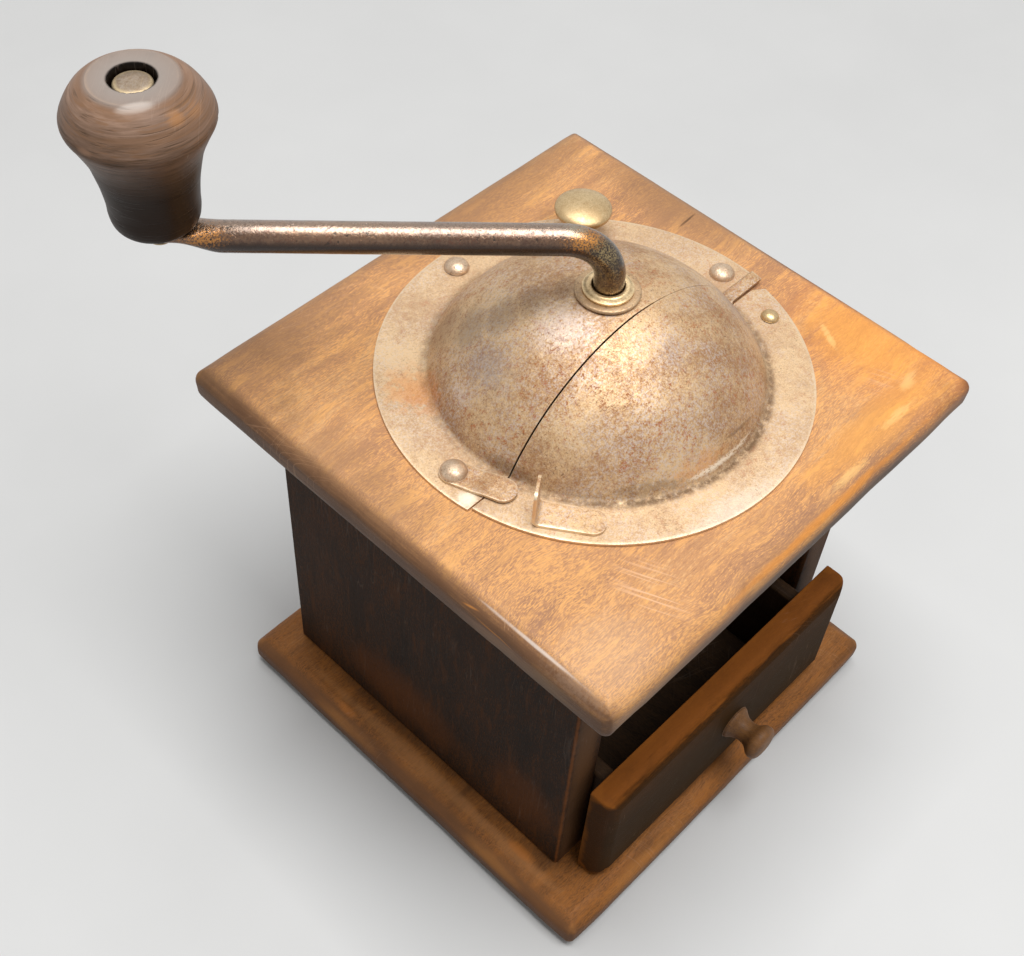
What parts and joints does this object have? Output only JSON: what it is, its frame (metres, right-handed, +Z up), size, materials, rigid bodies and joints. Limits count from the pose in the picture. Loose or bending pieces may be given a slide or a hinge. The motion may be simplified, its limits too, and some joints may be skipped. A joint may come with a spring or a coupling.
{
  "type": "manual coffee grinder",
  "caption": "Square wooden box mill for coffee beans with a domed metal hopper and swinging lid, a side crank with a turned wooden handle, and a drawer below for the grounds.",
  "frame": {"origin": "middle of the wooden case, on the underside of the base board that rests on the table", "axes": "+Z up along the crank's spindle, -Y towards the drawer front, +X to the right seen from the drawer"},
  "size_m": [0.1678, 0.1718, 0.2289],
  "materials": {
    "top_wood": "worn oiled wood, satin",
    "case_wood": "dark stained wood, satin",
    "base_wood": "brown stained wood, worn at the edges",
    "drawer_wood": "brown stained wood, satin",
    "handle_wood": "dark turned wood, satin with wear rings",
    "dome_steel": "tarnished plated sheet with rust specks",
    "rod_steel": "browned steel, polished by use, lightly pitted",
    "fixing_steel": "dull plated steel",
    "iron": "dark cast iron, matt",
    "brass": "dull aged brass"
  },
  "bodies": {
    "case": {"base_board": "base_wood", "case_screw_front_left": "iron", "case_screw_back_left": "iron", "case_screw_front_right": "iron", "case_screw_back_right": "iron", "side_wall_left": "case_wood", "side_wall_right": "case_wood", "back_wall": "case_wood", "front_panel": "case_wood", "top_board": "top_wood", "dome_shell": "dome_steel", "latch_clip": "dome_steel", "flange_nail_left": "fixing_steel", "flange_nail_back": "fixing_steel", "flange_nail_right": "fixing_steel", "lid_pivot": "fixing_steel", "brass_knob": "brass", "bush_washer": "rod_steel", "crank_bush": "brass", "hopper_bowl": "fixing_steel", "ring_burr": "iron", "bearing_bridge": "iron", "burr_rivet_left": "fixing_steel", "burr_rivet_right": "fixing_steel", "detent_spring": "fixing_steel"},
    "lid": {"lid_shell": "dome_steel", "finger_tab": "dome_steel"},
    "crank": {"crank_arm": "rod_steel", "cone_burr": "iron", "handle_pin": "fixing_steel"},
    "handle": {"handle_knob": "handle_wood"},
    "adjuster": {"adjusting_screw": "brass"},
    "drawer": {"drawer_front": "drawer_wood", "drawer_side_left": "drawer_wood", "drawer_side_right": "drawer_wood", "drawer_back": "drawer_wood", "drawer_bottom": "drawer_wood", "drawer_knob": "drawer_wood", "drawer_knob_screw": "iron"}
  },
  "joints": [
    {"name": "lid_swing", "type": "hinge", "parent": "case", "child": "lid", "pos_m": [0.05109, -0.02097, 0.1391], "axis": [0, 0, 1], "range_deg": [0, 95]},
    {"name": "drawer_slide", "type": "slide", "parent": "case", "child": "drawer", "axis": [0, -1, 0], "range_m": [-0.0044, 0.075]},
    {"name": "crank_turn", "type": "hinge", "parent": "case", "child": "crank", "pos_m": [0.0024, -0.0008, 0.168], "axis": [0, 0, 1], "continuous": true},
    {"name": "handle_spin", "type": "hinge", "parent": "crank", "child": "handle", "pos_m": [-0.07542, 0.07409, 0.1882], "axis": [0, 0, 1], "continuous": true},
    {"name": "adjuster_turn", "type": "hinge", "parent": "case", "child": "adjuster", "pos_m": [0.0024, -0.0008, 0.06], "axis": [0, 0, 1], "range_deg": [-180, 180]}
  ]
}
